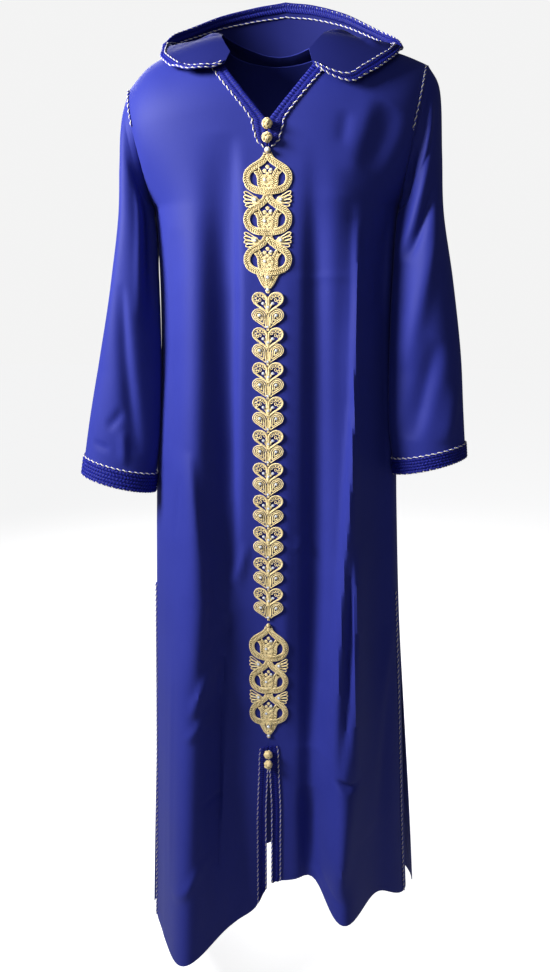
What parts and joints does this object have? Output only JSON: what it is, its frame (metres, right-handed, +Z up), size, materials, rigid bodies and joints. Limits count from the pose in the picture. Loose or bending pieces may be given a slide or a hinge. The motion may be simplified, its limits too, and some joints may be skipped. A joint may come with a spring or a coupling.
{
  "type": "hooded djellaba robe in worn form",
  "caption": "Long hooded robe in its hollow worn form, with a V neck, set-in sleeves, gold braid down the centre front and a slit at the hem.",
  "frame": {"origin": "midway between the shoulders, at the height where the shoulders carry the garment", "axes": "+Z up along the garment, -Y out of the front, +X to the wearer's left"},
  "size_m": [0.644, 0.3756, 1.6668],
  "materials": {
    "crepe": "smooth royal blue crepe with a soft sheen",
    "blue_braid": "satin royal blue braid edged with cream and blue twisted cord",
    "gold_braid": "woven metallic gold thread braid with small clear crystals",
    "cream_cord": "cream and blue twisted cord",
    "crystal": "small faceted crystals"
  },
  "bodies": {
    "root": {"front_left_skirt": "crepe", "front_left_hips": "crepe", "front_left_chest": "crepe", "front_left_yoke": "crepe", "front_right_skirt": "crepe", "front_right_hips": "crepe", "front_right_chest": "crepe", "front_right_yoke": "crepe", "back_skirt": "crepe", "back_hips": "crepe", "back_chest": "crepe", "back_yoke": "crepe", "sleeve_left": "crepe", "sleeve_right": "crepe", "hood_left": "crepe", "hood_right": "crepe", "neck_braid_left": "blue_braid", "neck_braid_right": "blue_braid", "slit_braid_left": "blue_braid", "slit_braid_right": "blue_braid", "hood_braid": "blue_braid", "cuff_braid_left": "blue_braid", "cuff_braid_right": "blue_braid", "braidwork_upper": "gold_braid", "braidwork_lower": "gold_braid", "leaf_pair_01": "gold_braid", "leaf_pair_02": "gold_braid", "leaf_pair_03": "gold_braid", "leaf_pair_04": "gold_braid", "leaf_pair_05": "gold_braid", "leaf_pair_06": "gold_braid", "leaf_pair_07": "gold_braid", "leaf_pair_08": "gold_braid", "leaf_pair_09": "gold_braid", "leaf_pair_10": "gold_braid", "leaf_pair_11": "gold_braid", "leaf_pair_12": "gold_braid", "leaf_pair_13": "gold_braid", "leaf_pair_14": "gold_braid", "leaf_pair_15": "gold_braid", "leaf_pair_16": "gold_braid", "leaf_pair_17": "gold_braid", "leaf_pair_18": "gold_braid", "leaf_pair_19": "gold_braid", "leaf_pair_20": "gold_braid", "bead_upper": "gold_braid", "bead_lower": "gold_braid", "button_upper_1": "gold_braid", "button_upper_2": "gold_braid", "button_lower_1": "gold_braid", "button_lower_2": "gold_braid"}
  },
  "joints": []
}
